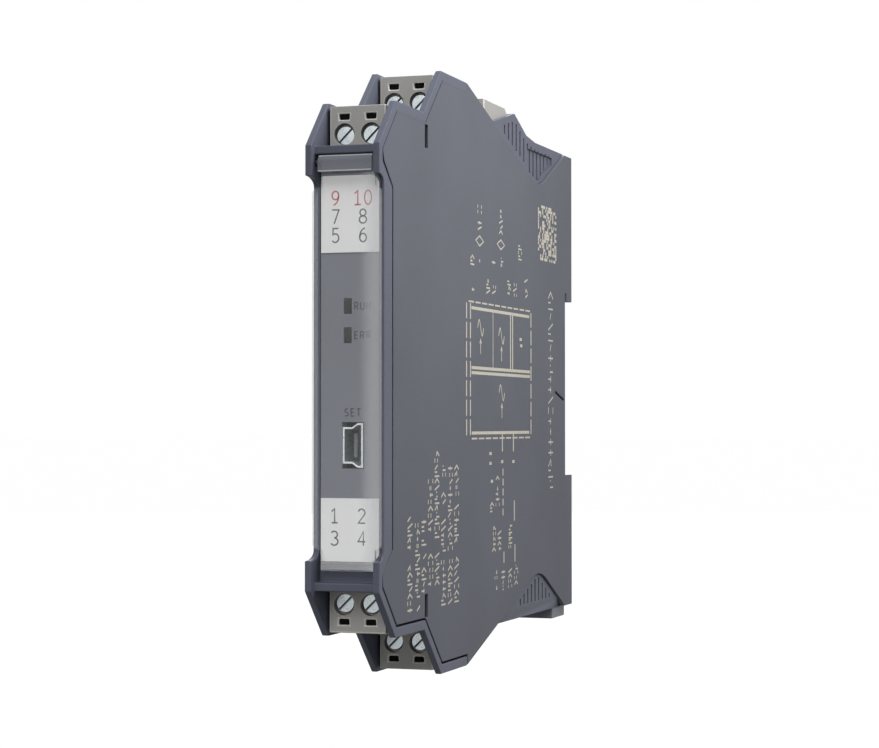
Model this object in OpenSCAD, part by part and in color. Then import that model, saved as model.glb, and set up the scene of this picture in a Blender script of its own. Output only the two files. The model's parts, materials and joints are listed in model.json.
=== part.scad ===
// Slim signal isolator module for a 35 mm rail.
// X runs across the width, Y runs back to the rail, Z is up.
// The origin is the middle of the rail seat. Side profiles are drawn in (d, z), where d is the
// depth behind the front edge of the ears, and slab() stands them up between two X planes.

/* [Housing] */
// Width of the module, side face to side face
body_w = 12.7; // [12.4:0.1:16]
// Thickness of the left wall, the decks and the shell walls
wall = 1.1; // [0.9:0.05:1.2]
// Thickness of the right side cover
cover_t = 1.1; // [0.9:0.05:1.2]
// Depth from the front of the ears to the rail seat
seat_depth = 113.3; // [112:0.1:125]
// Depth of the rail hook behind the rail seat
hook_depth = 5.2; // [5:0.1:7]
// Height of the rear part of the housing above the rear decks
tail_rise = 2.4; // [1.8:0.1:3.2]
// Width of the rim around the side cover
rim_w = 1.6; // [1.4:0.1:2]
// Gap between parts that are fitted by hand
fit_gap = 0.12; // [0.05:0.01:0.2]

/* [Ears and decks] */
// Height of the front deck above the middle
deck_z = 35.5; // [35:0.1:37]
// Rise from the front deck to the rear deck
deck_rise = 8.3; // [8:0.1:10]
// Height at which the front ears begin
ear_foot_z = 30.8; // [30:0.1:31.2]
// How far the ears stand above the plugs
ear_over = 0.6; // [0.2:0.1:1]
// Height of the front lip above the front deck
lip_h = 0.2; // [0.2:0.1:0.6]

/* [Finger grips and vents] */
// Depth at which the grip arch has its apex
arch_d = 93.8; // [92:0.1:96]
// Height of the grip arch's apex above the middle
arch_z = 37.5; // [36:0.1:38.5]
// Radius at the apex of the grip arch
arch_r = 14; // [4:1:16]
// How far the finger grips are set in from the side face
grip_in = 0.5; // [0.3:0.05:0.7]
// Distance between vent slots
vent_pitch = 2.6; // [2.4:0.1:3.2]
// Width of a vent slot
vent_w = 0.8; // [0.8:0.1:1.6]
// Number of vent slots in each grip
vent_count = 14; // [8:1:14]

/* [Rail] */
// Width of the rail
rail_w = 35; // [34.5:0.1:35.5]
// Thickness of the rail's flanges
rail_t = 1; // [0.8:0.1:1.5]
// How far the hook and the latch reach over the flanges
rail_grip = 1.3; // [0.8:0.1:1.8]
// Travel of the foot latch
latch_travel = 3.5; // [2:0.1:4]

/* [Plugs] */
// Distance between the two poles of a plug
pole_pitch = 4.6; // [4.5:0.05:5.1]
// Width of a plug
plug_w = 9.7; // [9.4:0.1:9.9]
// Depth of a plug, front to back
plug_depth = 14.8; // [14:0.1:15]
// Height of a plug above its deck
head_h = 7.3; // [7.2:0.1:8.5]
// Length of a plug's nose below its deck
nose_h = 10.5; // [9:0.1:11]
// Depth of the front plugs behind the ear fronts
plug_front_d = 7.2; // [6.5:0.1:9]
// Depth of the second plugs behind the ear fronts
plug_second_d = 31.5; // [30:0.1:33]
// Depth of the third plug behind the ear fronts
plug_third_d = 61.5; // [61:0.1:63]
// Diameter of a terminal screw's head
screw_d = 3.2; // [2.8:0.1:3.4]
// Diameter of a terminal screw's thread
thread_d = 2.2; // [1.8:0.1:2.4]

/* [Front] */
// Depth of the front panel's face behind the ear fronts
panel_d = 4; // [3.8:0.1:4.4]
// Half height of the front panel
panel_z = 31.5; // [31.2:0.1:31.8]
// Thickness of the front panel
panel_t = 1.2; // [1:0.1:1.6]
// Thickness of the terminal labels
label_t = 0.3; // [0.2:0.05:0.5]
// Thickness of the clear flap's skin
flap_t = 0.7; // [0.6:0.1:0.9]
// Diameter of the flap's pivot pins
pivot_d = 0.9; // [0.7:0.05:1]
// Height of an indicator lens
lens_h = 2.5; // [2:0.1:3]
// Width of an indicator lens
lens_w = 1.3; // [1:0.1:1.6]

/* [Board] */
// Thickness of the circuit board
board_t = 1.6; // [1.2:0.1:1.8]
// Side of a square header pin
pin_t = 0.8; // [0.6:0.05:0.9]

/* [Hidden] */
$fn = 48;
eps = 0.01;

// Planes across the width
left_x = -body_w / 2;
right_x = body_w / 2;
in_l = left_x + wall;
in_r = right_x - cover_t;
mid_x = (in_l + in_r) / 2;
in_w = in_r - in_l;

// Decks, plugs and their terminal numbers
deck2_z = deck_z + deck_rise;
tail_z = deck2_z + tail_rise;
plug_gap = 0.4;
PLUG_NAMES = ["56", "78", "910", "12", "34"];
PLUG_D = [plug_front_d, plug_second_d, plug_third_d, plug_front_d, plug_second_d];
PLUG_DECK = [deck_z, deck2_z, deck2_z, deck_z, deck2_z];
PLUG_SIDE = [1, 1, 1, -1, -1];
PLUG_FIRST = [5, 7, 9, 1, 3];
POLES = [-1, 1];

// Heights and depths of the stepped ears
ear_lean = 0.6;
brow_z = deck_z + lip_h;
ear_top = deck_z + head_h + ear_over;
ear2_top = deck2_z + head_h + ear_over;
ear_d = plug_front_d + ear_lean;
riser_d = plug_front_d + plug_depth + plug_gap;
ear2_d = plug_second_d;
ear2_end = plug_second_d + plug_depth;
back_d = plug_third_d + plug_depth + plug_gap;

// Front edge of the side walls between the ears, and the flap that stands in front of it
wall_set = 0.2;
wall_front_d = panel_d - wall_set;
band_in_d = 6.2;
fillet_h = 1.5;
band_z = ear_foot_z - fillet_h;
rim_foot_z = band_z - 0.1;
root_rise = 3.7;
ear_root_z = band_z + root_rise;
flap_room = 0.4;
skin_d = panel_d - label_t - flap_room - flap_t;
guard_t = 0.4;
guard_set = 0.4;
guard_d = skin_d - guard_set;
pivot_set = 0.5;
pivot_y = skin_d - pivot_set;
pivot_drop = 2.4;
pivot_z = deck_z - pivot_drop;
pivot_fit = 0.05;
pivot_len = 0.65;

// Rail recess
tail_d = seat_depth + hook_depth;
rail_fit = 0.3;
hook_z = rail_w / 2 - rail_grip;
slot_top = rail_w / 2 + rail_fit;
slot_d = seat_depth + rail_t + rail_fit;
recess_room = 2;
recess_low = rail_w / 2 + recess_room;
top_step = 0.2;
top_z = tail_z + top_step;

// Third ear behind the rearmost plug
peak_set = 1.2;
peak_drop = 1.4;
peak_run = 8.2;
peak_foot_rise = 0.7;
peak_d = back_d + peak_set;
peak_z = ear2_top - peak_drop;
peak_foot_d = peak_d + peak_run;
peak_foot_z = top_z + peak_foot_rise;
tail_top_run = 6.3;
tail_top_d = peak_foot_d + tail_top_run;

// Slanted edge of the side cover, from the second ear to the grip's apex
slant = (ear2_top - arch_z) / (arch_d - ear2_end);
function slant_z(d) = ear2_top - slant * (d - ear2_end);
function slant_d(z) = ear2_end + (ear2_top - z) / slant;
arch_foot_set = 0.3;
arch_foot_d = seat_depth - arch_foot_set;
grip_lip = 2;

function rev(p) = [for (i = [len(p) - 1:-1:0]) p[i]];
function unit(v) = v / norm(v);
function left_of(a, b) = [a.y - b.y, b.x - a.x] / norm(b - a);
function flip(p, s) = [for (q = p) [q.x, s * q.y]];

// Corner b moved by t to the left of the way a-b-c
function inset_corner(a, b, c, t) =
    let (m = left_of(a, b), n = left_of(b, c)) b + t * (m + n) / (1 + m * n);

// Closed counter-clockwise outline moved inward by t
function inset(p, t) =
    let (n = len(p))
    [for (i = [0:n - 1]) inset_corner(p[(i + n - 1) % n], p[i], p[(i + 1) % n], t)];

// Arc of radius r that rounds corner b between a and c
function round_corner(a, b, c, r, steps = 8) =
    let (
        u = unit(a - b),
        v = unit(c - b),
        half = acos(u * v) / 2,
        centre = b + unit(u + v) * r / sin(half),
        first = b + u * r / tan(half) - centre,
        last = b + v * r / tan(half) - centre
    )
    [for (k = [0:steps]) centre + r * unit(first * (1 - k / steps) + last * k / steps)];

// Hollow fillet under an ear, from depth d out to the ear's front
function ear_fillet(d, steps = 6) =
    [for (k = [0:steps]) let (a = 90 * k / steps) [d * cos(a), band_z + fillet_h * sin(a)]];

// Front edge of the ears up to the end of the second ear
ear_path = [
    [0, ear_foot_z],
    [0, brow_z],
    [ear_d, ear_top],
    [riser_d, ear_top],
    [ear2_d, ear2_top],
    [ear2_end, ear2_top]
];
function front_path(s) = flip(concat(
    ear_fillet(wall_front_d),
    [for (i = [1:len(ear_path) - 1]) ear_path[i]]
), s);

// Gaps around the side cover: along the band, at the ear's root and along the ear's edges.
// The cover sits high in its rim, so a gap is wide where the cover's edge looks down.
band_gap = 0.55;
root_gap = 0.85;
low_gap = 0.4;
RIM_GAP = [0, 0, 0];
UPPER_GAP = [band_gap, root_gap, fit_gap / 2];
LOWER_GAP = [band_gap, fit_gap, low_gap];

// Edge of the rim around the side cover, moved inward by the gaps g
function rim_path(s, g) =
    let (p = ear_path, t = rim_w + g[2])
    flip(concat(
        [[band_in_d + g[0], rim_foot_z], [rim_w + g[1], ear_root_z]],
        [for (i = [1:4]) inset_corner(p[i - 1], p[i], p[i + 1], -t)],
        [[ear2_end + g[2], ear2_top - t]]
    ), s);

// Rear edge with the rail recess, from the bottom up
rear_path = [
    [tail_d, -tail_z],
    [tail_d, -recess_low],
    [seat_depth, -recess_low],
    [seat_depth, slot_top],
    [slot_d, slot_top],
    [slot_d, hook_z],
    [tail_d, hook_z],
    [tail_d, top_z]
];

// Top edge over the third ear, from the rear to the front
top_path = [
    [tail_top_d, top_z],
    [peak_foot_d, peak_foot_z],
    [peak_d, peak_z]
];

valley_set = 14;
valley_d = back_d - valley_set;
side_outline = concat(
    rev(front_path(1)),
    front_path(-1),
    [[slant_d(tail_z), -tail_z]],
    rear_path,
    top_path,
    [[valley_d, slant_z(valley_d)]]
);

shell_set = 0.2;
belly_run = 7;
back_lip = 0.5;
shell_d = panel_d + shell_set;
bottom_step_d = slant_d(tail_z) - belly_run;
shell_outline = concat(
    [
        [shell_d, -deck_z],
        [riser_d, -deck_z],
        [riser_d, -deck2_z],
        [bottom_step_d, -deck2_z],
        [slant_d(tail_z), -tail_z],
        [seat_depth, -tail_z],
        [seat_depth, slot_top],
        [slot_d, slot_top],
        [slot_d, hook_z],
        [tail_d, hook_z],
        [tail_d, top_z]
    ],
    top_path,
    [
        [back_d, peak_z - back_lip],
        [back_d, deck2_z],
        [riser_d, deck2_z],
        [riser_d, deck_z],
        [shell_d, deck_z]
    ]
);

arch_apex = [arch_d, arch_z];
arch_start = [ear2_end, ear2_top];
arch_foot = [arch_foot_d, tail_z];
arch_edge = concat(round_corner(arch_start, arch_apex, arch_foot, arch_r), [arch_foot]);

function cover_edge(s, g) = concat(
    rim_path(s, g),
    flip(concat([[ear2_end + g[2], slant_z(ear2_end + g[2])]], arch_edge), s)
);
cover_outline = concat(
    cover_edge(1, UPPER_GAP),
    [[tail_d, tail_z], [tail_d, hook_z], [slot_d, hook_z], [slot_d, slot_top]],
    [[seat_depth, slot_top], [seat_depth, -recess_low], [tail_d, -recess_low], [tail_d, -tail_z]],
    rev(cover_edge(-1, LOWER_GAP))
);

// Wall of each grip, clear of the cover's edge by the fitting gap
grip_edge = [for (q = arch_edge) q + [0, fit_gap]];
grip_top = concat(
    [[valley_d, slant_z(valley_d) + fit_gap]],
    grip_edge,
    [[arch_foot_d, top_z]],
    top_path
);
grip_bottom = concat([[slant_d(tail_z), -tail_z]], flip(grip_edge, -1));
vent_set = 6;
vent_first_d = valley_d + vent_set;
vent_margin = 1.4;
pocket_deep = 0.35;
pocket_margin = 0.8;
pocket_drop = 1.5;
pocket_lead = 6.5;
pocket_run = 11;
pocket_first_d = arch_d - pocket_lead;
pocket_last_d = arch_d + pocket_run;
function vent_d(i) = vent_first_d + i * vent_pitch;
function edge_z(d) =
    d < arch_d ? slant_z(d) : arch_z + (tail_z - arch_z) * (d - arch_d) / (arch_foot_d - arch_d);
function roof_z(d) = lookup(d, [
    [valley_d, slant_z(valley_d)],
    [peak_d, peak_z],
    [peak_foot_d, peak_foot_z],
    [tail_top_d, top_z],
    [tail_d, top_z]
]);

// Pocket around the rear vent slots of the upper grip
grip_pocket = [
    [pocket_first_d, edge_z(pocket_first_d) + pocket_margin],
    [arch_d, arch_z + pocket_drop],
    [pocket_last_d, edge_z(pocket_last_d) + pocket_margin],
    [pocket_last_d, tail_z - pocket_drop],
    [pocket_first_d, tail_z - pocket_drop]
];

// Terminal screw, clamp cage and contact, in a plug's own depth u and height v
screw_v = 2.5;
screw_recess = 0.6;
head_len = 1;
seat_u = screw_recess + head_len;
shoulder = 0.5;
pocket_u = seat_u + shoulder;
bore_fit = 0.15;
bore_d = screw_d + 2 * bore_fit;
thread_fit = 0.05;
cage_w = 3.7;
cage_h = 3.6;
cage_room = 1.8;
cage_u = pocket_u + cage_room;
cage_len = 6.1;
cage_wall = 0.9;
cage_side = 0.45;
cage_fit = 0.15;
bar_set = 1.75;
bar_u = cage_u + bar_set;
bar_t = 0.7;
bar_w = 2.4;
shank_gap = 0.2;
shank_end = bar_u - shank_gap;
fork_gap = 1.6;
fork_root = 1.6;
fork_web = 1;
fork_end_gap = 1;
fork_len = nose_h - fork_end_gap;
pin_u = bar_u + bar_t + fork_gap / 2;
nose_set = 3.9;
nose_u = pin_u - nose_set;
nose_depth = 8.2;
nose_side = 0.15;
nose_w = plug_w - 2 * nose_side;
well_fit = 0.2;
wire_d = 3.2;
wire_u = bar_u + bar_t + 1.5;
header_depth = 13;
header_wall = 0.8;
header_side = 0.05;
header_floor = 1.7;
tail_drop = [2, 4];
pin_top = 3.6;
pin_poke = 0.4;

// Circuit board
post_h = 0.6;
board_inset = 5;
board_gap = 0.4;
board_x = in_l + post_h;
board_face = board_x + board_t;
board_front_d = shell_d + board_inset;
board_rear_d = seat_depth - board_inset;
board_low_z = tail_z - board_inset - wall;
board_step_d = riser_d + wall + post_h;
board_belly_d = ear2_end + 2;
pin_hole = 0.8;
board_z = deck_z - header_depth - board_gap;
board2_z = deck2_z - header_depth - board_gap;
post_r = 2;
peg_r = 0.9;
peg_fit = 0.1;
peg_stand = 0.5;
post_set = 4;
post_mid_set = 34;
post_mid_d = board_step_d + post_mid_set;
BOARD_POSTS = [
    [board_front_d + post_set, 0],
    [post_mid_d, board2_z - post_set],
    [post_mid_d, post_set - board2_z],
    [board_rear_d - post_set, 0]
];

// Parts that stand on the board
core_set = 40;
core_len = 14;
core_d = [board_step_d + core_set, board_step_d + core_set + core_len];
core_z = 8;
core_h = 6.5;
core_leg = 2.4;
core_mid = 3.6;
coil_fit = 0.2;
chip_set = 6;
chip_d = board_step_d + chip_set;
chip_z = 12;
isolator_set = 24;
isolator_d = board_step_d + isolator_set;
cap_set = 16;
cap_d = board_rear_d - cap_set;
cap_z = 16;

// Foot latch and spring
latch_fit = 0.2;
latch_d = seat_depth + 0.3;
latch_t = 3.4;
latch_w = in_w - 2 * latch_fit;
guide_w = 1.2;
guide_t = 1;
guide_d = latch_d + latch_t + latch_fit;
guide_z = recess_low + 8;
tab_gap = 0.05;
tab_z = tail_z + tab_gap;
tab_h = 2.2;
tab_len = 6;
window_w = 4.2;
window_set = 9;
window_h = 13;
window_top = recess_low + window_set;
window_low = window_top + window_h;
peg_h = 1.4;
peg_w = 3.2;
spring_r = 1.5;
wire_r = 0.22;
spring_len = window_h - latch_travel - peg_h;
spring_turns = 7;

// Front fittings
lens_x = mid_x - 0.5;
LENS_Z = [10, 5.3];
lens_fit = 0.03;
port_x = mid_x + 0.45;
port_z = -12.4;
port_w = 3.5;
port_h = 7.2;
port_len = 8;
port_skin = 0.35;
port_neck = 0.8;
port_slope = 0.9;
port_step = 0.65;
label_edge = 0.45;
UPPER_LABEL = [18.6, panel_z - label_edge];
LOWER_LABEL = [-20.9, label_edge - panel_z];
label_w = in_w - 0.5;
label_r = 1.6;
label_left_r = 0.4;

// Colours
slate = [0.40, 0.42, 0.47];
panel_grey = [0.47, 0.48, 0.52];
plug_grey = [0.58, 0.57, 0.54];
steel = [0.76, 0.79, 0.80];
brass = [0.80, 0.66, 0.36];
board_green = [0.12, 0.36, 0.22];
chip_black = [0.10, 0.10, 0.11];
white = [0.85, 0.85, 0.84];

// Stands a (d, z) profile up between two X planes
module slab(x0, x1) {
    translate([x0, -seat_depth, 0])
        rotate([90, 0, 90])
            linear_extrude(x1 - x0)
                children();
}

// Block between two corners given as [x, d, z]
module block(low, high) {
    translate(low - [0, seat_depth, 0])
        cube(high - low);
}

// Puts a plug's own frame (x, u, v) on its deck, above or below
module on_deck(i) {
    translate([mid_x, PLUG_D[i] - seat_depth, 0])
        mirror([0, 0, PLUG_SIDE[i] > 0 ? 0 : 1])
            translate([0, 0, PLUG_DECK[i]])
                children();
}

// Block in a plug's own frame, centred on x
module plug_block(x, w, u0, u1, v0, v1) {
    translate([x - w / 2, u0, v0])
        cube([w, u1 - u0, v1 - v0]);
}

// Round bar along X at (d, z)
module cross_pin(x0, x1, d, z, r) {
    translate([x0, d - seat_depth, z])
        rotate([0, 90, 0])
            cylinder(h = x1 - x0, r = r);
}

module vent_slots(s) {
    for (i = [0:vent_count - 1]) {
        low = edge_z(vent_d(i)) + vent_margin;
        high = (s > 0 ? roof_z(vent_d(i)) : tail_z - grip_lip / 2) - vent_margin;
        if (high - low > vent_w)
            translate([vent_d(i) - vent_w / 2, s > 0 ? low : -high])
                square([vent_w, high - low]);
    }
}

module board_posts() {
    for (p = BOARD_POSTS) {
        cross_pin(in_l - eps, board_x, p.x, p.y, post_r);
        cross_pin(in_l - eps, board_face + peg_stand, p.x, p.y, peg_r);
    }
}

module shell_walls() {
    difference() {
        slab(in_l - eps, in_r)
            difference() {
                polygon(shell_outline);
                polygon(inset(shell_outline, wall));
            }
        block([in_l - eps, shell_d - 1, -panel_z - fit_gap],
            [in_r + 1, shell_d + wall + eps, panel_z + fit_gap]);
        for (i = [0:4])
            on_deck(i)
                plug_block(0, nose_w + 2 * well_fit, nose_u - well_fit, nose_u + nose_depth + well_fit,
                    -wall - 1, 1);
    }
}

module front_lips() {
    lip_set = 0.6;
    for (s = [0, 1])
        mirror([0, 0, s])
            block([in_l - eps, pivot_y - lip_set, deck_z - wall], [in_r, shell_d + 1, deck_z + lip_h]);
}

module panel_ledges() {
    ledge = 1;
    ledge_d = panel_d + panel_t;
    end_z = deck_z - wall + eps;
    for (x = [in_l - eps, in_r - ledge])
        block([x, ledge_d, -end_z], [x + ledge, ledge_d + ledge, end_z]);
}

// Thin outer edge of the right wall that guards the flap's side
module flap_guard() {
    edge = ear_fillet(guard_d);
    guard_end = wall_front_d + wall_set;
    slab(right_x - guard_t, right_x)
        polygon(concat(
            rev(flip(edge, -1)), edge,
            [[guard_end, ear_foot_z], [guard_end, -ear_foot_z]]
        ));
}

// Takes a bevel off the lower grip's bottom edge
module grip_bevel() {
    from_d = slant_d(tail_z) - 1;
    translate([0, arch_foot_d - seat_depth, -tail_z])
        rotate([90, 0, 0])
            linear_extrude(arch_foot_d - from_d)
                polygon([
                    [in_r + eps, -1], [right_x + 1, -1],
                    [right_x + 1, grip_lip], [right_x - grip_in, grip_lip], [in_r + eps, 0]
                ]);
}

module housing_body() {
    color(slate)
        difference() {
            union() {
                slab(left_x, in_l)
                    polygon(side_outline);
                shell_walls();
                front_lips();
                panel_ledges();
                flap_guard();
                slab(in_r - eps, right_x)
                    polygon(concat(rev(front_path(-1)), front_path(1),
                        rev(rim_path(1, RIM_GAP)), rim_path(-1, RIM_GAP)));
                slab(in_r - eps, right_x - grip_in)
                    difference() {
                        union() {
                            polygon(grip_top);
                            polygon(grip_bottom);
                        }
                        vent_slots(1);
                        vent_slots(-1);
                    }
                board_posts();
                block([in_l - eps, guide_d, -tail_z], [in_l + guide_w, guide_d + guide_t, -guide_z]);
                block([mid_x - peg_w / 2, seat_depth - wall, latch_travel - window_low],
                    [mid_x + peg_w / 2, latch_d + latch_t, latch_travel - window_low + peg_h]);
            }
            grip_bevel();
            slab(right_x - grip_in - pocket_deep, right_x)
                polygon(grip_pocket);
            pivot_bores();
        }
}

// Bores for the flap's pins, in the ears and in the cover's corner beside the right ear
module pivot_bores() {
    cross_pin(in_l - pivot_len - fit_gap, in_r + pivot_len + fit_gap, pivot_y, pivot_z,
        pivot_d / 2 + pivot_fit);
}

module side_cover() {
    snap_w = 1.6;
    snap_h = 3.9;
    snap_d = riser_d + 0.4;
    snap_z = ear_top - rim_w - 0.4;
    slit_w = 0.5;
    slit_len = 7.2;
    slit_tilt = -14;
    slit_set = 7.8;
    slit_z = -2.5;
    color(slate)
        difference() {
            union() {
                slab(in_r, right_x)
                    difference() {
                        polygon(cover_outline);
                        for (s = [-1, 1])
                            translate([snap_d, s > 0 ? snap_z - snap_h : -snap_z])
                                square([snap_w, snap_h]);
                        translate([seat_depth - slit_set, slit_z])
                            rotate(slit_tilt)
                                translate([0, -slit_w / 2])
                                    square([slit_len, slit_w]);
                    }
                block([in_r - guide_w, guide_d, -tail_z], [in_r + eps, guide_d + guide_t, -guide_z]);
            }
            pivot_bores();
        }
}

// Outline of the programming port, one long side narrower, grown by g
module port_outline(g) {
    h = port_h / 2 + g;
    w = port_w / 2 + g;
    polygon([
        [w, -h], [w, h], [port_neck, h], [port_neck - port_slope, h - port_step], [-w, h - port_step],
        [-w, port_step - h], [port_neck - port_slope, port_step - h], [port_neck, -h]
    ]);
}

module port_prism(d0, d1, g) {
    translate([port_x, d1 - seat_depth, port_z])
        rotate([90, 0, 0])
            linear_extrude(d1 - d0)
                port_outline(g);
}

// Box around the port, grown by g
module port_box(d0, d1, g) {
    block([port_x - port_w / 2 - g, d0, port_z - port_h / 2 - g],
        [port_x + port_w / 2 + g, d1, port_z + port_h / 2 + g]);
}

module front_panel() {
    rib = 0.5;
    color(panel_grey)
        difference() {
            union() {
                block([in_l + fit_gap, panel_d, -panel_z], [in_r - fit_gap, panel_d + panel_t, panel_z]);
                port_box(panel_d + panel_t - eps, panel_d + panel_t + 1, rib);
            }
            for (z = LENS_Z)
                block([lens_x - lens_w / 2, panel_d - 1, z - lens_h / 2],
                    [lens_x + lens_w / 2, panel_d + panel_t + 1, z + lens_h / 2]);
            port_box(panel_d - 1, panel_d + panel_t + 2, fit_gap);
        }
}

// Label from z[0] next to the middle out to z[1], where its corners are rounded
module label_plate(z) {
    x = label_w / 2;
    near_l = [-x, z[0]];
    near_r = [x, z[0]];
    far_l = [-x, z[1]];
    far_r = [x, z[1]];
    translate([mid_x, panel_d - seat_depth, 0])
        rotate([90, 0, 0])
            linear_extrude(label_t)
                polygon(concat(
                    [near_l, near_r],
                    round_corner(near_r, far_r, far_l, label_r, 4),
                    round_corner(far_r, far_l, near_l, label_left_r, 4)
                ));
}

module upper_label() {
    color(white)
        label_plate(UPPER_LABEL);
}

module lower_label() {
    color(white)
        label_plate(LOWER_LABEL);
}

// Clear flap: skin with side returns, a neck bar with pivot pins and a finger lip
module front_flap() {
    side = 0.15;
    side_t = 0.7;
    corner = 0.7;
    neck_r = 1.1;
    neck_drop = 1.6;
    neck_w = in_w - 1.2;
    lip_len = 3.4;
    rest_gap = 0.05;
    half_z = band_z - 0.2;
    back = skin_d + flap_t;
    returns = wall_front_d - rest_gap;
    x0 = left_x + side;
    x1 = right_x - guard_t - side;
    neck = [mid_x - neck_w / 2, mid_x + neck_w / 2];
    color([0.72, 0.74, 0.76, 0.35])
        union() {
            difference() {
                translate([0, returns - seat_depth, 0])
                    rotate([90, 0, 0])
                        linear_extrude(returns - skin_d)
                            polygon([
                                [x0, corner - half_z], [x0 + corner, -half_z],
                                [x1 - corner, -half_z], [x1, corner - half_z],
                                [x1, half_z - corner], [x1 - corner, half_z],
                                [x0 + corner, half_z], [x0, half_z - corner]
                            ]);
                block([x0 + side_t, back, -half_z - 1], [x1 - side_t, returns + 1, half_z + 1]);
            }
            block([neck[0], skin_d, -half_z - lip_len], [neck[1], back, pivot_z - neck_drop + eps]);
            slab(neck[0], neck[1])
                polygon([
                    [pivot_y - neck_r, pivot_z - neck_drop], [pivot_y + neck_r, pivot_z - neck_drop],
                    [pivot_y + neck_r, pivot_z], [pivot_y - neck_r, pivot_z]
                ]);
            cross_pin(neck[0], neck[1], pivot_y, pivot_z, neck_r);
            cross_pin(in_l - pivot_len, in_r + pivot_len, pivot_y, pivot_z, pivot_d / 2);
        }
}

module lens(z) {
    flange = 0.6;
    flange_t = 0.8;
    proud = 0.1;
    tail = 2;
    half = [lens_w / 2 - lens_fit, lens_h / 2 - lens_fit];
    back = panel_d + panel_t;
    block([lens_x - half.x, panel_d - proud, z - half.y], [lens_x + half.x, back + tail, z + half.y]);
    block([lens_x - half.x - flange, back, z - half.y - flange],
        [lens_x + half.x + flange, back + flange_t, z + half.y + flange]);
}

module power_lens() {
    color([0.25, 0.28, 0.27])
        lens(LENS_Z[0]);
}

module status_lens() {
    color([0.25, 0.28, 0.27])
        lens(LENS_Z[1]);
}

module port_shell() {
    proud = 0.2;
    color(steel)
        difference() {
            port_prism(panel_d - proud, panel_d + port_len, 0);
            port_prism(panel_d - 1, panel_d + port_len + 1, -port_skin);
        }
}

// Plastic back, contact tongue and foot that stands on the board
module port_insert() {
    end_d = panel_d + port_len;
    back = end_d - 1.5;
    tongue_t = 0.6;
    tongue_h = 3.8;
    foot_h = 5.2;
    foot_len = 2.5;
    insert_fit = 0.02;
    color(chip_black)
        union() {
            port_prism(back, end_d + eps, -port_skin - insert_fit);
            block([port_x - tongue_t / 2, panel_d + panel_t, port_z - tongue_h / 2],
                [port_x + tongue_t / 2, back + eps, port_z + tongue_h / 2]);
            block([board_face, end_d, port_z - foot_h / 2],
                [port_x + port_w / 2, end_d + foot_len, port_z + foot_h / 2]);
        }
}

module circuit_board() {
    color(board_green)
        difference() {
            slab(board_x, board_face)
                polygon([
                    [board_front_d, -board_z], [board_step_d, -board_z],
                    [board_step_d, -board2_z], [board_belly_d, -board2_z],
                    [board_belly_d + board_inset, -board_low_z], [board_rear_d, -board_low_z],
                    [board_rear_d, board2_z], [board_step_d, board2_z],
                    [board_step_d, board_z], [board_front_d, board_z]
                ]);
            for (p = BOARD_POSTS)
                cross_pin(board_x - 1, board_face + 1, p.x, p.y, peg_r + peg_fit);
            for (i = [0:4])
                for (k = [0, 1])
                    cross_pin(board_x - 1, board_face + 1, PLUG_D[i] + pin_u,
                        PLUG_SIDE[i] * (PLUG_DECK[i] - header_depth - tail_drop[k]), pin_t * pin_hole);
        }
}

// Ferrite core with two windows for the winding, standing on the board
module transformer_core() {
    color([0.22, 0.21, 0.22])
        difference() {
            block([board_face, core_d[0], -core_z], [board_face + core_h, core_d[1], core_z]);
            for (s = [0, 1])
                mirror([0, 0, s])
                    block([board_face - 1, core_d[0] + core_leg, core_mid / 2],
                        [board_face + core_h + 1, core_d[1] - core_leg, core_z - core_leg]);
        }
}

module transformer_coil() {
    bulge = 0.6;
    color([0.72, 0.42, 0.20])
        for (s = [0, 1])
            mirror([0, 0, s])
                block([board_face, core_d[0] + core_leg + coil_fit, core_mid / 2 + coil_fit],
                    [board_face + core_h + bulge, core_d[1] - core_leg - coil_fit,
                        core_z - core_leg - coil_fit]);
}

// Chip body with two rows of legs that stand on the board
module chip(d, z, size, legs) {
    lift = 0.3;
    leg_pitch = 1.27;
    leg_w = 0.4;
    reach = 0.6;
    block([board_face + lift, d - size.y / 2, z - size.z / 2],
        [board_face + lift + size.x, d + size.y / 2, z + size.z / 2]);
    for (s = [-1, 1])
        for (k = [0:legs - 1]) {
            leg_d = d + (k - (legs - 1) / 2) * leg_pitch;
            leg_z = z + s * size.z / 2;
            block([board_face, leg_d - leg_w / 2, leg_z - reach],
                [board_face + lift + eps, leg_d + leg_w / 2, leg_z + reach]);
        }
}

module isolation_chip() {
    case = [2.3, 10.3, 7.5];
    color(chip_black)
        chip(isolator_d, 0, case, 8);
}

module signal_chips() {
    short_case = [1.5, 5, 4];
    long_case = [1.5, 8.7, 4];
    color(chip_black)
        union() {
            chip(chip_d, chip_z, short_case, 4);
            chip(chip_d, 0, long_case, 7);
            chip(chip_d, -chip_z, short_case, 4);
        }
}

module filter_capacitors() {
    cap_r = 3.15;
    cap_h = 7;
    color([0.16, 0.17, 0.24])
        for (z = [-cap_z, cap_z])
            cross_pin(board_face, board_face + cap_h, cap_d, z, cap_r);
}

// Sliding foot: a bar with a ramped tooth, a spring window and a pull tab
module foot_latch() {
    back = latch_d + latch_t;
    bar_top = recess_low + 0.4;
    pull_w = 5;
    pull_d = latch_d - 4;
    pull_t = 1.4;
    color([0.30, 0.32, 0.36])
        difference() {
            slab(mid_x - latch_w / 2, mid_x + latch_w / 2)
                polygon([
                    [latch_d - tab_len, -tab_z - tab_h], [back, -tab_z - tab_h], [back, -recess_low],
                    [slot_d, -hook_z], [slot_d, -bar_top], [latch_d, -bar_top],
                    [latch_d, -tab_z], [latch_d - tab_len, -tab_z]
                ]);
            block([mid_x - window_w / 2, latch_d - 1, -window_low],
                [mid_x + window_w / 2, back + 1, -window_top]);
            block([mid_x - pull_w / 2, pull_d, -tab_z - tab_h - 1],
                [mid_x + pull_w / 2, pull_d + pull_t, 1 - tab_z]);
        }
}

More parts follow.
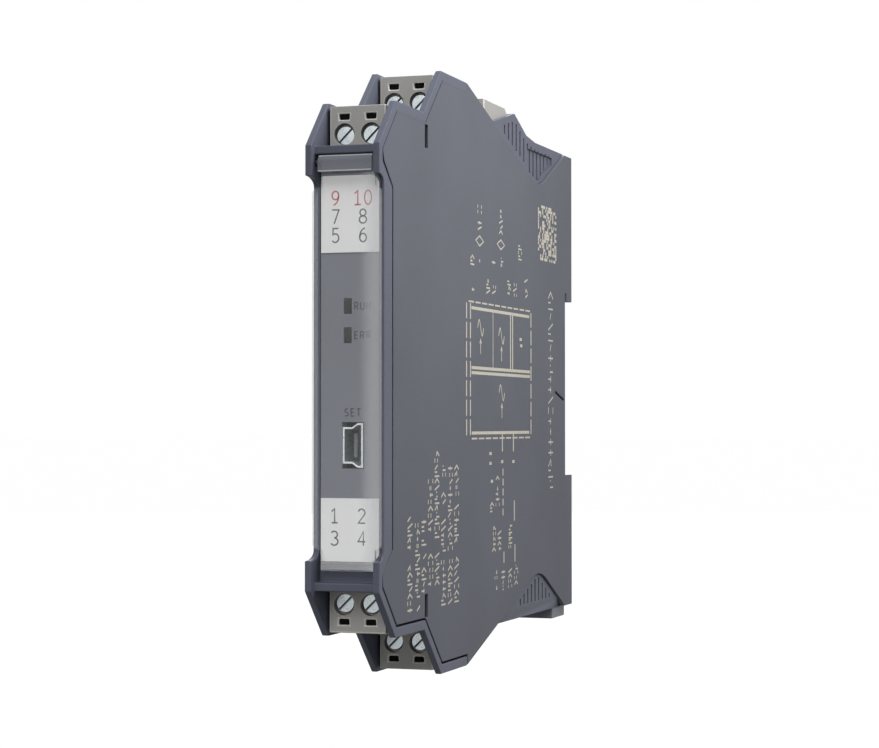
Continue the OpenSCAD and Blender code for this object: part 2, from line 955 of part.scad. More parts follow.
// One turn-by-turn sweep of the spring wire
module latch_spring() {
    sides = 8;
    per_turn = 14;
    rings = spring_turns * per_turn;
    coil_r = spring_r - wire_r;
    base = [mid_x, latch_d + latch_t / 2 - seat_depth, -window_top - spring_len + wire_r];
    rise = spring_len - 2 * wire_r;
    points = [
        for (k = [0:rings])
            for (j = [0:sides - 1])
                let (a = 360 * k / per_turn, b = 360 * j / sides, r = coil_r + wire_r * cos(b))
                base + [r * cos(a), r * sin(a), rise * k / rings + wire_r * sin(b)]
    ];
    skin = [
        for (k = [0:rings - 1])
            for (j = [0:sides - 1])
                [k * sides + j, k * sides + (j + 1) % sides,
                    (k + 1) * sides + (j + 1) % sides, (k + 1) * sides + j]
    ];
    ends = [
        [for (j = [sides - 1:-1:0]) j],
        [for (j = [0:sides - 1]) rings * sides + j]
    ];
    color(steel)
        polyhedron(points, concat(skin, ends));
}

// Plug: crowned head with screw bores, test slots and wire funnels, and a nose with sockets
module plug_body(i) {
    flat_top = 12.4;
    back_v = 5.6;
    probe_v = 5.5;
    probe_w = 1.85;
    probe_low_w = 1.65;
    probe_h = 0.95;
    probe_deep = 2.5;
    bar_fit = 0.05;
    fork_fit = 0.25;
    socket_end = pin_u + fork_gap / 2 + bar_t + fork_fit;
    color(plug_grey)
        on_deck(i)
            difference() {
                union() {
                    translate([-plug_w / 2, 0, 0])
                        rotate([90, 0, 90])
                            linear_extrude(plug_w)
                                polygon(concat(
                                    [[0, 0], [plug_depth, 0]],
                                    [for (a = [90:-15:0])
                                        [flat_top + (plug_depth - flat_top) * sin(a),
                                            back_v + (head_h - back_v) * cos(a)]],
                                    [[0, head_h]]
                                ));
                    plug_block(0, nose_w, nose_u, nose_u + nose_depth, -nose_h, eps);
                }
                for (p = POLES) {
                    x = p * pole_pitch / 2;
                    translate([x, -1, screw_v])
                        rotate([-90, 0, 0])
                            cylinder(h = seat_u + 1, d = bore_d);
                    translate([x, 0, screw_v])
                        rotate([-90, 0, 0])
                            cylinder(h = pocket_u + 1, r = thread_d / 2 + thread_fit);
                    plug_block(x, cage_w + 2 * cage_fit, pocket_u, cage_u + cage_len + cage_fit,
                        screw_v - cage_h / 2 - cage_fit, screw_v + cage_h / 2 + cage_fit);
                    translate([x, wire_u, screw_v])
                        cylinder(h = head_h, d = wire_d);
                    translate([x, probe_deep, probe_v])
                        rotate([90, 0, 0])
                            linear_extrude(probe_deep + 1)
                                polygon([
                                    [-probe_low_w / 2, -probe_h / 2], [probe_low_w / 2, -probe_h / 2],
                                    [probe_w / 2, probe_h / 2], [-probe_w / 2, probe_h / 2]
                                ]);
                    plug_block(x, bar_w + 2 * bar_fit, bar_u - bar_fit, bar_u + bar_t + bar_fit, -2, 1);
                    plug_block(x, bar_w + 2 * fork_fit, bar_u - fork_fit, socket_end,
                        -nose_h - 1, -fork_root);
                }
            }
}

module plug_contacts(i) {
    color(brass)
        on_deck(i)
            for (p = POLES) {
                x = p * pole_pitch / 2;
                plug_block(x, bar_w, bar_u, bar_u + bar_t, -fork_len, screw_v + cage_h / 2);
                tine_u = pin_u + fork_gap / 2;
                plug_block(x, bar_w, bar_u, tine_u + bar_t, -fork_root - fork_web, -fork_root);
                plug_block(x, bar_w, tine_u, tine_u + bar_t, -fork_len, -fork_root);
            }
}

// Board header: open box under the deck that the plug's nose enters
module header(i) {
    cavity_u = nose_u - well_fit;
    cavity_end = nose_u + nose_depth + well_fit;
    cavity_w = nose_w + 2 * well_fit;
    color([0.20, 0.21, 0.23])
        on_deck(i)
            difference() {
                plug_block(0, in_w - 2 * header_side, cavity_u - header_wall, cavity_end + header_wall,
                    -header_depth, -wall);
                plug_block(0, cavity_w, cavity_u, cavity_end, header_floor - header_depth, 0);
                for (p = POLES)
                    plug_block(p * pole_pitch / 2, pin_t, pin_u - pin_t / 2, pin_u + pin_t / 2,
                        -header_depth - 1, 0);
            }
}

// Pins that stand in the header and bend over to the board
module header_pins(i) {
    color(brass)
        on_deck(i)
            for (k = [0, 1]) {
                x = POLES[k] * pole_pitch / 2;
                v = -header_depth - tail_drop[k];
                end_x = board_x - mid_x - pin_poke;
                plug_block(x, pin_t, pin_u - pin_t / 2, pin_u + pin_t / 2, v - pin_t / 2, -pin_top);
                translate([end_x, pin_u - pin_t / 2, v - pin_t / 2])
                    cube([x - end_x, pin_t, pin_t]);
            }
}

// Place of terminal t: its plug and its pole
function plug_of(t) = [for (i = [0:4]) if (t == PLUG_FIRST[i] || t == PLUG_FIRST[i] + 1) i][0];
function pole_of(t) = POLES[t - PLUG_FIRST[plug_of(t)]];

module terminal_screw(t) {
    slot_w = 0.3;
    slot_deep = 0.6;
    color(steel)
        on_deck(plug_of(t))
            translate([pole_of(t) * pole_pitch / 2, 0, screw_v])
                rotate([-90, 0, 0])
                    difference() {
                        union() {
                            translate([0, 0, screw_recess])
                                cylinder(h = head_len, d = screw_d);
                            translate([0, 0, screw_recess])
                                cylinder(h = shank_end - screw_recess, d = thread_d);
                        }
                        rotate([0, 0, PLUG_SIDE[plug_of(t)] * -45])
                            translate([-screw_d, -slot_w / 2, screw_recess - 1])
                                cube([2 * screw_d, slot_w, slot_deep + 1]);
                    }
}

// Rising cage that the screw draws forward against the contact bar
module terminal_clamp(t) {
    color(steel)
        on_deck(plug_of(t))
            translate([pole_of(t) * pole_pitch / 2, 0, screw_v])
                difference() {
                    plug_block(0, cage_w, cage_u, cage_u + cage_len, -cage_h / 2, cage_h / 2);
                    plug_block(0, cage_w - 2 * cage_side, cage_u + cage_wall, cage_u + cage_len - cage_wall,
                        -cage_h, cage_h);
                    translate([0, cage_u - 1, 0])
                        rotate([-90, 0, 0])
                            cylinder(h = cage_wall + 2, r = thread_d / 2 + thread_fit);
                }
}

housing_body();
side_cover();
front_panel();
front_flap();
upper_label();
lower_label();
power_lens();
status_lens();
port_shell();
port_insert();
circuit_board();
transformer_core();
transformer_coil();
isolation_chip();
signal_chips();
filter_capacitors();
foot_latch();
latch_spring();
for (i = [0:4]) {
    plug_body(i);
    plug_contacts(i);
    header(i);
    header_pins(i);
}
for (t = [1:10]) {
    terminal_screw(t);
    terminal_clamp(t);
}
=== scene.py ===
import json
import math
import random

import bmesh
import bpy
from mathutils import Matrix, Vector

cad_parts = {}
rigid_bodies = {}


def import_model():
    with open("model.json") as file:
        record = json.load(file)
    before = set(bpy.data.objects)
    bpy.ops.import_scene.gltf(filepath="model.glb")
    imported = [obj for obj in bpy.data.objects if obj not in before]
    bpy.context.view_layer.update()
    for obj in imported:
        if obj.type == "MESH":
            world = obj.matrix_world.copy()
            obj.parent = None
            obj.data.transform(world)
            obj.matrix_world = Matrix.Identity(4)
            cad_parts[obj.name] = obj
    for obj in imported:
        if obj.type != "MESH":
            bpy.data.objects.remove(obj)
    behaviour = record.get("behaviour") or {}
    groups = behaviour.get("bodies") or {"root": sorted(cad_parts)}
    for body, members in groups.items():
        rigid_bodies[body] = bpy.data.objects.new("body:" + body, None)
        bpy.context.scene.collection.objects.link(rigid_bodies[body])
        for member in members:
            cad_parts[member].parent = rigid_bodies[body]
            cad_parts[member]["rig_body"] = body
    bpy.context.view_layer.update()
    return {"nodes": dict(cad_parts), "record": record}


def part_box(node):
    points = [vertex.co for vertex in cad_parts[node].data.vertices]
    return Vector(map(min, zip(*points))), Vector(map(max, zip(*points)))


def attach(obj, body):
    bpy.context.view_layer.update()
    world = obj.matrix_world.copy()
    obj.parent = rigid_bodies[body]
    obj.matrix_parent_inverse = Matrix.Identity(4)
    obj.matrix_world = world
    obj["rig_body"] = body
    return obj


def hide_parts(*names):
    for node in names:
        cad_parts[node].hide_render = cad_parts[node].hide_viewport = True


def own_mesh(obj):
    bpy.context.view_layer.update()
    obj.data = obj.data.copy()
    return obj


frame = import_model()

MM = 0.001
SEAT_DEPTH = 113.3            # depth of the rail seat behind the ear fronts, mm
RIGHT_X = 6.35                # right side face, mm
PANEL_D = 4.0                 # front panel's face, mm behind the ear fronts
LABEL_D = 3.7                 # face of the terminal labels
PRINT_LOW = 0.03              # how far the dressed cover's face lies inside the solid's face, mm
SLOTS = {row["node"]: row["material_slot"] for row in frame["record"]["subparts"]}
scene = bpy.context.scene


def at(x, d, z):
    """Point in the row frame from x, the depth behind the ear fronts and z, all in mm."""
    return Vector((x, d - SEAT_DEPTH, z)) * MM


def srgb(r, g, b):
    """Linear colour of an 8-bit screen colour."""
    def lin(v):
        v /= 255
        return v / 12.92 if v <= 0.04045 else ((v + 0.055) / 1.055) ** 2.4
    return (lin(r), lin(g), lin(b), 1.0)


def shade(colour, k):
    return tuple(min(1.0, c * k) for c in colour[:3]) + (1.0,)


# Materials

WEAR_AND_HIGHLIGHT_RADIUS = 0.35 * MM                  # reach of the paler edges of moulded plastic, partly worn and partly a painted highlight
WEAR_AND_HIGHLIGHT_PALENESS = 2.2                         # how much paler they are
DRIFT_SCALE = 45                        # scale of the slow drift of a plastic's colour
GRAIN_HEIGHT = 0.06 * MM                # bump of moulded grain
FINE_HEIGHT = 0.03 * MM                 # bump of metals and lenses
MIX_A, MIX_B, MIX_RESULT = 6, 7, 2      # colour sockets of a mix node
REFLECTION_START, REFLECTION_FULL = 1.5, 4.6        # x over which the flap grows hazier to its right edge, a painted reflection, mm


def new_material(name):
    mat = bpy.data.materials.new(name)
    mat.use_nodes = True
    tree = mat.node_tree
    tree.nodes.clear()
    out = tree.nodes.new("ShaderNodeOutputMaterial")
    bsdf = tree.nodes.new("ShaderNodeBsdfPrincipled")
    tree.links.new(bsdf.outputs[0], out.inputs["Surface"])
    return mat, tree, bsdf


def object_coords(tree):
    return tree.nodes.new("ShaderNodeTexCoord").outputs["Object"]


def noise(tree, coords, scale, detail=2.0, stretch=None):
    if stretch:
        mapping = tree.nodes.new("ShaderNodeMapping")
        mapping.inputs["Scale"].default_value = stretch
        tree.links.new(coords, mapping.inputs["Vector"])
        coords = mapping.outputs[0]
    n = tree.nodes.new("ShaderNodeTexNoise")
    n.inputs["Scale"].default_value = scale
    n.inputs["Detail"].default_value = detail
    tree.links.new(coords, n.inputs["Vector"])
    return n.outputs["Fac"]


def spread(tree, value, low, high, start=0.3, end=0.7):
    """Maps a value between start and end to the range from low to high."""
    m = tree.nodes.new("ShaderNodeMapRange")
    m.inputs["From Min"].default_value = start
    m.inputs["From Max"].default_value = end
    m.inputs["To Min"].default_value = low
    m.inputs["To Max"].default_value = high
    tree.links.new(value, m.inputs["Value"])
    return m.outputs[0]


def ramp(tree, value, low, high, start=0.3, end=0.7):
    """Colour between low and high as a value goes from start to end."""
    r = tree.nodes.new("ShaderNodeValToRGB")
    r.color_ramp.elements[0].position = start
    r.color_ramp.elements[0].color = low
    r.color_ramp.elements[1].position = end
    r.color_ramp.elements[1].color = high
    tree.links.new(value, r.inputs["Fac"])
    return r.outputs["Color"]


def bump(tree, bsdf, height, strength, distance):
    b = tree.nodes.new("ShaderNodeBump")
    b.inputs["Strength"].default_value = strength
    b.inputs["Distance"].default_value = distance
    tree.links.new(height, b.inputs["Height"])
    tree.links.new(b.outputs[0], bsdf.inputs["Normal"])


def edge_mask(tree, radius):
    """1 along the edges of a piece, 0 on its flats."""
    bevel = tree.nodes.new("ShaderNodeBevel")
    bevel.samples = 6
    bevel.inputs["Radius"].default_value = radius
    geometry = tree.nodes.new("ShaderNodeNewGeometry")
    dot = tree.nodes.new("ShaderNodeVectorMath")
    dot.operation = "DOT_PRODUCT"
    tree.links.new(bevel.outputs[0], dot.inputs[0])
    tree.links.new(geometry.outputs["Normal"], dot.inputs[1])
    return spread(tree, dot.outputs["Value"], 1.0, 0.0, 0.75, 0.99)


def mix_colour(tree, factor, socket, colour):
    """Mixes a socket's colour towards a set colour."""
    m = tree.nodes.new("ShaderNodeMix")
    m.data_type = "RGBA"
    tree.links.new(factor, m.inputs["Factor"])
    tree.links.new(socket, m.inputs[MIX_A])
    m.inputs[MIX_B].default_value = colour
    return m.outputs[MIX_RESULT]


def plastic(name, colour, rough=0.48, grain=3200, depth=0.18, mottle=0.05, wear_and_highlight=0.16, level=0.45):
    """Moulded plastic: fine eroded grain, slow colour drift and paler edges, partly worn and partly a painted
    highlight.
    """
    mat, tree, bsdf = new_material(name)
    coords = object_coords(tree)
    fine = noise(tree, coords, grain, 3)
    slow = noise(tree, coords, DRIFT_SCALE, 2)
    body = ramp(tree, slow, shade(colour, 1 - mottle), shade(colour, 1 + mottle))
    # Paler edges: partly worn, partly a painted highlight
    if wear_and_highlight:
        pale_edge_mask = spread(tree, edge_mask(tree, WEAR_AND_HIGHLIGHT_RADIUS), 0.0, wear_and_highlight, 0.1, 1.0)
        body = mix_colour(tree, pale_edge_mask, body, shade(colour, WEAR_AND_HIGHLIGHT_PALENESS))
    tree.links.new(body, bsdf.inputs["Base Color"])
    tree.links.new(spread(tree, fine, rough - 0.07, rough + 0.07), bsdf.inputs["Roughness"])
    bsdf.inputs["Specular IOR Level"].default_value = level
    bump(tree, bsdf, fine, depth, GRAIN_HEIGHT)
    return mat


def turned_rings(tree, coords):
    """Fine rings about y, as a lathe leaves them."""
    rings = tree.nodes.new("ShaderNodeTexWave")
    rings.wave_type = "RINGS"
    rings.rings_direction = "Y"
    rings.inputs["Scale"].default_value = 1500
    rings.inputs["Distortion"].default_value = 0.6
    tree.links.new(coords, rings.inputs["Vector"])
    return rings.outputs["Fac"]


def metal(name, colour, rough=0.32, rings=False, stretch=None, metallic=1.0):
    """Plated metal with turned rings or a drawn grain."""
    mat, tree, bsdf = new_material(name)
    coords = object_coords(tree)
    fine = noise(tree, coords, 2400, 3, stretch)
    drift = noise(tree, coords, 500, 2)
    body = ramp(tree, drift, shade(colour, 0.92), shade(colour, 1.05))
    tree.links.new(body, bsdf.inputs["Base Color"])
    bsdf.inputs["Metallic"].default_value = metallic
    tree.links.new(spread(tree, fine, rough - 0.08, rough + 0.10), bsdf.inputs["Roughness"])
    bump(tree, bsdf, turned_rings(tree, coords) if rings else fine, 0.12, FINE_HEIGHT)
    return mat


def clear(name, colour, haze, rough, right=None):
    """Smoky clear plastic. haze is its cover, and right the cover it grows to at its right edge, a painted
    reflection.
    """
    mat, tree, bsdf = new_material(name)
    coords = object_coords(tree)
    flow = noise(tree, coords, 70, 2, (1.0, 1.0, 0.35))
    tree.links.new(ramp(tree, flow, shade(colour, 0.96), shade(colour, 1.03)), bsdf.inputs["Base Color"])
    tree.links.new(spread(tree, flow, rough * 0.8, rough * 1.3), bsdf.inputs["Roughness"])
    bsdf.inputs["IOR"].default_value = 1.49
    bsdf.inputs["Alpha"].default_value = haze
    # The cover grows towards the right edge: a painted reflection
    if right:
        split = tree.nodes.new("ShaderNodeSeparateXYZ")
        tree.links.new(coords, split.inputs[0])
        rise = spread(tree, split.outputs["X"], haze, right, REFLECTION_START * MM, REFLECTION_FULL * MM)
        rise.node.interpolation_type = "SMOOTHSTEP"
        tree.links.new(rise, bsdf.inputs["Alpha"])
    bsdf.inputs["Coat Weight"].default_value = 0.15
    bsdf.inputs["Coat Roughness"].default_value = 0.05
    return mat


def lens(name, low, high, z0, z1):
    """Dark indicator lens that grows paler from z0 up to z1, in mm: painted light from above."""
    mat, tree, bsdf = new_material(name)
    coords = object_coords(tree)
    split = tree.nodes.new("ShaderNodeSeparateXYZ")
    tree.links.new(coords, split.inputs[0])
    rise = spread(tree, split.outputs["Z"], 0.0, 1.0, z0 * MM, z1 * MM)
    tree.links.new(ramp(tree, rise, low, high, 0.0, 1.0), bsdf.inputs["Base Color"])
    fine = noise(tree, coords, 2600, 2)
    tree.links.new(spread(tree, fine, 0.2, 0.3), bsdf.inputs["Roughness"])
    bsdf.inputs["Specular IOR Level"].default_value = 0.2
    bump(tree, bsdf, fine, 0.05, FINE_HEIGHT)
    return mat


def printed(name, colour, rough=0.6):
    """Ink with slightly uneven cover."""
    mat, tree, bsdf = new_material(name)
    coords = object_coords(tree)
    cover = ramp(tree, noise(tree, coords, 1800, 3), shade(colour, 0.86), shade(colour, 1.05))
    tree.links.new(cover, bsdf.inputs["Base Color"])
    sheen = spread(tree, noise(tree, coords, 4000), rough - 0.06, rough + 0.06)
    tree.links.new(sheen, bsdf.inputs["Roughness"])
    return mat


COVER = plastic("slate_cover", srgb(93, 95, 103), rough=0.5, wear_and_highlight=0.1, level=0.03)
# Paler edges of these plastics: partly worn, partly a painted highlight; strongest on the labels and plugs
MATERIALS = {
    "housing": plastic("slate_housing", srgb(88, 91, 103), rough=0.5, wear_and_highlight=0.12, level=0.08),
    "cover": COVER,
    "panel": plastic("panel_grey", srgb(118, 121, 130), rough=0.5, wear_and_highlight=0.1, level=0.3),
    # The flap grows hazier towards its right edge: a painted reflection
    "flap": clear("smoky_clear", srgb(240, 241, 243), 0.04, 0.12, right=0.24),
    "label": plastic("label_white", srgb(241, 241, 241), rough=0.55, depth=0.06, mottle=0.01, wear_and_highlight=0.8),
    "steel": metal("plated_steel", srgb(194, 202, 205), rings=True, metallic=0.6),
    "contact": metal("tinned_brass", srgb(206, 178, 110), stretch=(1.0, 1.0, 0.1)),
    "plug": plastic("plug_grey", srgb(149, 148, 145), rough=0.6, mottle=0.03, wear_and_highlight=0.5),
    "header": plastic("header_dark", srgb(70, 72, 76), rough=0.55),
    "board": plastic("solder_mask", srgb(28, 86, 56), rough=0.3, grain=1500, depth=0.1),
    "chip": plastic("chip_black", srgb(36, 36, 38), rough=0.5),
    "ferrite": plastic("ferrite", srgb(62, 60, 62), rough=0.7, depth=0.3),
    "copper": metal("copper_winding", srgb(196, 118, 68), stretch=(0.1, 1.0, 1.0)),
    "can": plastic("can_sleeve", srgb(44, 46, 64), rough=0.3),
    "latch": plastic("latch_grey", srgb(84, 88, 98), rough=0.5),
}
# Paler plug colour for the plugs' rounded edges: a painted highlight
PLUG_EDGE_HIGHLIGHT = plastic("plug_edge_highlight", srgb(196, 194, 187), rough=0.55, wear_and_highlight=0, mottle=0.03)
PORT_INNER = plastic("port_inner", srgb(96, 97, 99), rough=0.5, mottle=0.08)
# Dark colour for the screw slots: painted shade
SLOT_SHADE = plastic("slot_dark", srgb(44, 58, 64), rough=0.5)
# Dark line in the seam: painted shade
SEAM_SHADE = plastic("seam_shade", srgb(50, 52, 64), rough=0.6, wear_and_highlight=0, level=0.1)
# Near black for recesses: painted shade
SHADE_BLACK = plastic("shade_black", srgb(10, 10, 11), rough=0.8, wear_and_highlight=0, level=0.05)
# Lens colours from their dark foot to their paler top: painted light from above
LENS_LOW, LENS_HIGH = srgb(12, 13, 15), srgb(48, 49, 50)
# Paler, denser cover for the flap's side edges: a painted reflection
FLAP_EDGE_REFLECTION = clear("smoky_edge_reflection", srgb(214, 218, 224), 0.3, 0.2)
FLAP_NECK = clear("smoky_neck", srgb(160, 164, 174), 0.34, 0.15)
FLAP_LIP = clear("smoky_lip", srgb(226, 228, 231), 0.75, 0.25)
FLAP_PIN = clear("smoky_pin", srgb(46, 49, 56), 0.85, 0.3)
FLAP_FOOT = clear("smoky_foot", srgb(205, 207, 210), 0.32, 0.3)
# Pale strips on the flap's neck ridges: painted highlights
FLAP_HIGHLIGHT = clear("smoky_highlight", srgb(215, 216, 218), 0.55, 0.2)
INK_GREY = printed("ink_grey", srgb(98, 99, 102))
INK_RED = printed("ink_red", srgb(196, 104, 106))
INK_DARK = printed("ink_dark", srgb(40, 42, 46))
INK_PALE = printed("ink_pale", srgb(186, 181, 166))


# Dressed copies of the CAD nodes

EDGE_ANGLE = math.radians(32)         # sharper edges are rounded
FLAT_ANGLE = math.radians(0.4)        # faces that meet flatter than this are joined
EDGE_SEGMENTS = 2
SAME_POINT = 1e-6                     # m


def rounded_edges(bm, plain):
    """Vertex pairs of the edges to round, without those that join two points that plain names."""
    pairs = set()
    for e in bm.edges:
        if not e.is_manifold or e.calc_face_angle() <= EDGE_ANGLE:
            continue
        if plain and all(plain(v.co / MM) for v in e.verts):
            continue
        pairs.add(frozenset(v.index for v in e.verts))
    return pairs


def round_off(obj, bevel, rounded, edge):
    """Rounds the given edges of a piece. edge is the roundings' own material, if any."""
    mesh = obj.data
    weight = mesh.attributes.new("bevel_weight_edge", "FLOAT", "EDGE")
    weight.data.foreach_set("value", [float(frozenset(e.vertices) in rounded) for e in mesh.edges])
    mod = obj.modifiers.new("edges", "BEVEL")
    mod.width = bevel * MM
    mod.segments = EDGE_SEGMENTS
    mod.limit_method = "WEIGHT"
    mod.use_clamp_overlap = False
    mod.harden_normals = True
    if edge:
        mesh.materials.append(edge)
        mod.material = 1


def dress(node, bevel, centre=None, move=None, material=None, edge=None, plain=None):
    """Copy of a CAD node with rounded edges, which stands for it.

    bevel is the width of the roundings in mm, edge their own material, move shifts the points, and plain
    names the points, in mm, whose shared edges stay sharp.
    """
    source = frame["nodes"][node]
    origin = Vector(centre) if centre else Vector((0, 0, 0))
    bm = bmesh.new()
    bm.from_mesh(source.data)
    bmesh.ops.remove_doubles(bm, verts=bm.verts, dist=SAME_POINT)
    bmesh.ops.dissolve_limit(bm, angle_limit=FLAT_ANGLE, verts=bm.verts, edges=bm.edges)
    bm.verts.index_update()
    verts = [v.co - origin for v in bm.verts]
    faces = [[v.index for v in f.verts] for f in bm.faces]
    rounded = rounded_edges(bm, plain)
    bm.free()
    if move:
        verts = [move(v) for v in verts]
    mesh = bpy.data.meshes.new(node + "_look")
    mesh.from_pydata(verts, [], faces)
    mesh.materials.append(material or MATERIALS[SLOTS[node]])
    mesh.polygons.foreach_set("use_smooth", [True] * len(mesh.polygons))
    mesh.set_sharp_from_angle(angle=EDGE_ANGLE)
    obj = bpy.data.objects.new(node + "_look", mesh)
    obj.location = origin
    scene.collection.objects.link(obj)
    if bevel:
        round_off(obj, bevel, rounded, edge)
    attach(obj, source["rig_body"])
    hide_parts(node)
    return obj


# Housing, cover and front

DECK_SLABS = ((34.3, 35.55), (42.6, 43.85))      # heights of the decks' slabs, with room
DECK_X, DECK_Y = 5.45, 6 - SEAT_DEPTH            # half width of the decks, and where their strips start
VENT_X, VENT_Y, VENT_Z = (5.0, 6.0), -48, 38     # vented wall: its x, and where it starts in y and z
FOOT_X, FOOT_Y, FOOT_Z = (-5.45, -5.0), -12, -25 # wall at the foot, in the same way
ON_FACE = 0.001                                  # a point this near the right side lies on it, mm


def on_thin_wall(p):
    """True for points beside narrow strips: the decks with openings, the vented wall and the foot."""
    slab = any(low < abs(p.z) < high for low, high in DECK_SLABS)
    deck = slab and abs(p.x) < DECK_X and p.y > DECK_Y
    vents = abs(p.z) > VENT_Z and VENT_X[0] < p.x < VENT_X[1] and p.y > VENT_Y
    foot = p.z < FOOT_Z and FOOT_X[0] < p.x < FOOT_X[1] and p.y > FOOT_Y
    return deck or vents or foot


def lower_face(v):
    """Draws the right side in, which leaves room for the print inside the solid's box."""
    if v.x > (RIGHT_X - ON_FACE) * MM:
        return Vector(((RIGHT_X - PRINT_LOW) * MM, v.y, v.z))
    return v


LENS_SHADE = 0.5              # height of a lens that stays darkest, under its painted light, mm

dress("housing_body", 0.18, plain=on_thin_wall)
dress("side_cover", 0.12, move=lower_face)
dress("front_panel", 0.08)
dress("upper_label", 0.07)
dress("lower_label", 0.07)
# Each lens grows paler towards its top: painted light from above
for name in ("power_lens", "status_lens"):
    low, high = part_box(name)
    dark = lens(name + "_dark", LENS_LOW, LENS_HIGH, low.z / MM + LENS_SHADE, high.z / MM)
    dress(name, 0.12, material=dark)
dress("port_shell", 0.08)
dress("foot_latch", 0.2)
low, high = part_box("latch_spring")
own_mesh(dress("latch_spring", 0))


# Flap: its side edges, neck, lip and pins have a haze of their own; the paler side edges are a painted
# reflection

NECK_Z, LIP_Z = 31.4, -29.15
SIDE_X, PIN_X = 4.9, 4.68
FLAP_PARTS = (FLAP_EDGE_REFLECTION, FLAP_NECK, FLAP_LIP, FLAP_PIN)
WINDOW, SIDE, NECK, LIP, PIN = range(5)


def flap_part(p):
    """Which part of the flap the point p, in mm, is in."""
    if p.z > NECK_Z:
        return PIN if abs(p.x) > PIN_X else NECK
    if p.z < LIP_Z:
        return LIP
    return SIDE if abs(p.x) > SIDE_X else WINDOW


flap = dress("front_flap", 0.18)
for extra in FLAP_PARTS:
    flap.data.materials.append(extra)
for face in flap.data.polygons:
    face.material_index = flap_part(face.center / MM)


# Plugs and screws

# Name, depth of the plug's front, deck height, and side: 1 above or -1 below
PLUGS = (
    ("56", 7.2, 35.5, 1),
    ("78", 31.5, 43.8, 1),
    ("910", 61.5, 43.8, 1),
    ("12", 7.2, 35.5, -1),
    ("34", 31.5, 43.8, -1),
)
POLE_X = 2.3                  # x of the poles, to either side
SCREW_V = 2.5                 # height of the screws over their deck
BORE_R = 1.75                 # radius of a screw bore in the solid
BORE_TO, BORE_OUT = 1.78, 0.2 # radius in the look, and its shift away from the deck
ON_BORE = 0.02                # a point this near a bore's radius lies on its wall, mm
HEAD_R, HEAD_TO = 1.5, 0.94   # points farther out belong to a screw's head, whose look is a little smaller
NEAR = 0.05                   # room round a nose or bore for the points that belong to it, mm
SLOT_W = 0.28                 # width of the dark strip of painted shade in a screw's slot
SLOT_REACH = 0.92             # its length as a share of the screw's
SLOT_IN = (0.35, 0.5)         # depths of its face and its foot under the head's face


def open_bores(deck, side):
    """Widens the screw bores of a plug away from its deck, which leaves a dark crescent."""
    def move(v):
        for x in (-POLE_X, POLE_X):
            axis = Vector((x, side * (deck + SCREW_V))) * MM
            arm = Vector((v.x, v.z)) - axis
            if abs(arm.length - BORE_R * MM) < ON_BORE * MM:
                place = axis + arm * BORE_TO / BORE_R
                return Vector((place.x, v.y, place.y + side * BORE_OUT * MM))
        return v
    return move


def nose_and_bores(deck, side):
    """Names the points of a plug's nose and of its screw bores."""
    def plain(p):
        arms = [math.hypot(p.x - x, p.z - side * (deck + SCREW_V)) for x in (-POLE_X, POLE_X)]
        return abs(p.z) < deck + NEAR or min(arms) < BORE_R + NEAR
    return plain


def shrink_head(v):
    k = HEAD_TO if math.hypot(v.x, v.z) > HEAD_R * MM else 1
    return Vector((v.x * k, v.y, v.z * k))


def add_mesh(name, verts, faces, material, body, slot):
    mesh = bpy.data.meshes.new(name)
    mesh.from_pydata(verts, [], faces)
    mesh.materials.append(material)
    obj = bpy.data.objects.new(name, mesh)
    scene.collection.objects.link(obj)
    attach(obj, body)
    return obj


def prism_faces(k, flip=False):
    """Faces of a four-sided prism whose corners are the vertices k to k + 3 and k + 4 to k + 7."""
    faces = [(3, 2, 1, 0), (4, 5, 6, 7)]
    faces += [(i, (i + 1) % 4, 4 + (i + 1) % 4, 4 + i) for i in range(4)]
    return [tuple(k + i for i in (face[::-1] if flip else face)) for face in faces]


def screw_slot(t, low, high):
    """Dark strip of painted shade in the slot of a screw with the given box, turned by 45 degrees."""
    middle = (low + high) / 2
    reach, half = (high.x - low.x) / 2 * SLOT_REACH, SLOT_W * MM / 2
    corners = [(-reach, -half), (reach, -half), (reach, half), (-reach, half)]
    turned = [((a - b) / math.sqrt(2), (a + b) / math.sqrt(2)) for a, b in corners]
    verts = [(middle.x + a, low.y + y * MM, middle.z + b) for y in SLOT_IN for a, b in turned]
    add_mesh("slot_%d" % t, verts, prism_faces(0), SLOT_SHADE, "screw_%d" % t, "steel")


# The plugs' rounded edges take a paler material, a painted highlight
for name, _, deck, side in PLUGS:
    dress("plug_" + name, 0.22, move=open_bores(deck, side), edge=PLUG_EDGE_HIGHLIGHT, plain=nose_and_bores(deck, side))
for t in range(1, 11):
    low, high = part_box("screw_%d" % t)
    dress("screw_%d" % t, 0.08, centre=(low + high) / 2, move=shrink_head)
    screw_slot(t, low, high)

# CAD nodes that show as they are
for node, obj in frame["nodes"].items():
    if not obj.hide_render:
        obj.data.materials.clear()
        obj.data.materials.append(PORT_INNER if node == "port_insert" else MATERIALS[SLOTS[node]])


# Dark floors and seams of painted shade, and ridges that paint highlights

BOX_FACES = ((0, 1, 3, 2), (4, 6, 7, 5), (0, 4, 5, 1), (2, 3, 7, 6), (0, 2, 6, 4), (1, 5, 7, 3))


def box_mesh(name, boxes, material, body, slot):
    """One piece from boxes given by two corners (x, d, z)."""
    verts, faces = [], []
    for (x0, d0, z0), (x1, d1, z1) in boxes:
        k = len(verts)
        verts += [at(x, d, z) for x in (x0, x1) for d in (d0, d1) for z in (z0, z1)]
        faces += [tuple(k + i for i in face) for face in BOX_FACES]
    return add_mesh(name, verts, faces, material, body, slot)


